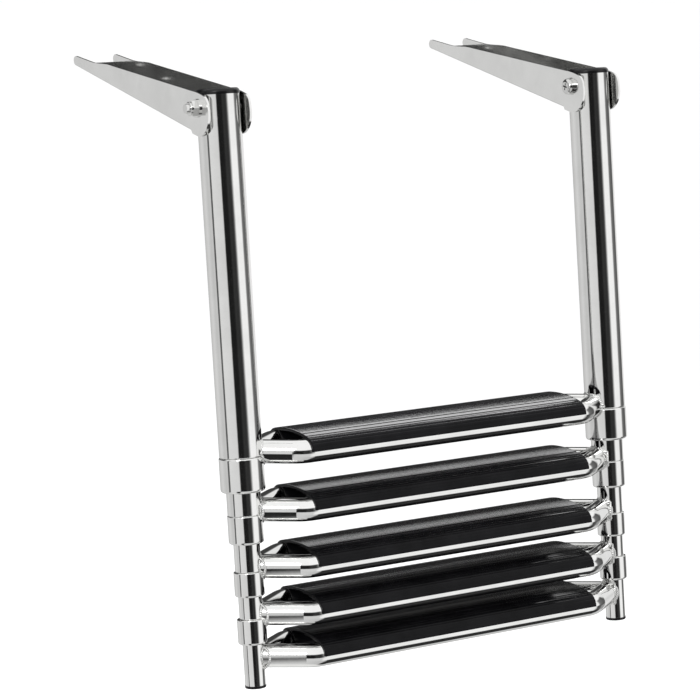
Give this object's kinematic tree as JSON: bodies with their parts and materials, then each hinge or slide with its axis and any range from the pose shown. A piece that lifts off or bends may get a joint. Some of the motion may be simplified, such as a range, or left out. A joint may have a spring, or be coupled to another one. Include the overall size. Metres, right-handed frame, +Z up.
{
  "type": "telescopic boarding ladder",
  "caption": "Telescopic stainless boarding ladder: nested round uprights slide down to space out flat plastic treads, and two hinged channel brackets bolt it to a deck edge.",
  "frame": {"origin": "centre of the left bracket's underside, in the middle of its row of deck holes", "axes": "+X along the treads to the viewer's right, +Y from the deck edge back over the deck, +Z up, square to the deck"},
  "size_m": [0.4584, 0.414, 0.5074],
  "materials": {
    "tube_steel": "polished stainless steel",
    "bracket_steel": "polished stainless steel sheet",
    "bolt_steel": "bright stainless steel",
    "tread_plastic": "black fine-ribbed plastic",
    "cap_plastic": "black plastic"
  },
  "bodies": {
    "brackets": {"bracket_left": "bracket_steel", "pivot_bolt_left": "bolt_steel", "washer_inner_left": "bolt_steel", "washer_outer_left": "bolt_steel", "pivot_nut_left": "bolt_steel", "bracket_right": "bracket_steel", "pivot_bolt_right": "bolt_steel", "washer_inner_right": "bolt_steel", "washer_outer_right": "bolt_steel", "pivot_nut_right": "bolt_steel"},
    "stage_1": {"upper_tube_left": "tube_steel", "upper_tube_right": "tube_steel", "top_cap_left": "cap_plastic", "top_cap_right": "cap_plastic", "collar_1_left": "tube_steel", "collar_1_right": "tube_steel", "rung_1": "tube_steel", "tread_1": "tread_plastic"},
    "stage_2": {"tube_2_left": "tube_steel", "tube_2_right": "tube_steel", "collar_2_left": "tube_steel", "collar_2_right": "tube_steel", "rung_2": "tube_steel", "tread_2": "tread_plastic"},
    "stage_3": {"tube_3_left": "tube_steel", "tube_3_right": "tube_steel", "collar_3_left": "tube_steel", "collar_3_right": "tube_steel", "rung_3": "tube_steel", "tread_3": "tread_plastic"},
    "stage_4": {"tube_4_left": "tube_steel", "tube_4_right": "tube_steel", "collar_4_left": "tube_steel", "collar_4_right": "tube_steel", "rung_4": "tube_steel", "tread_4": "tread_plastic"},
    "stage_5": {"tube_5_left": "tube_steel", "tube_5_right": "tube_steel", "foot_plug_left": "cap_plastic", "foot_plug_right": "cap_plastic", "rung_5": "tube_steel", "tread_5": "tread_plastic"}
  },
  "joints": [
    {"name": "fold_hinge", "type": "hinge", "parent": "brackets", "child": "stage_1", "pos_m": [0, -0.143, 0.0215], "axis": [-1, 0, 0], "range_deg": [0, 249.5]},
    {"name": "slide_2", "type": "slide", "parent": "stage_1", "child": "stage_2", "axis": [0, -0.284, -0.9588], "range_m": [0, 0.2492]},
    {"name": "slide_3", "type": "slide", "parent": "stage_2", "child": "stage_3", "axis": [0, -0.284, -0.9588], "range_m": [0, 0.2502]},
    {"name": "slide_4", "type": "slide", "parent": "stage_3", "child": "stage_4", "axis": [0, -0.284, -0.9588], "range_m": [0, 0.2584]},
    {"name": "slide_5", "type": "slide", "parent": "stage_4", "child": "stage_5", "axis": [0, -0.284, -0.9588], "range_m": [0, 0.2625]}
  ]
}
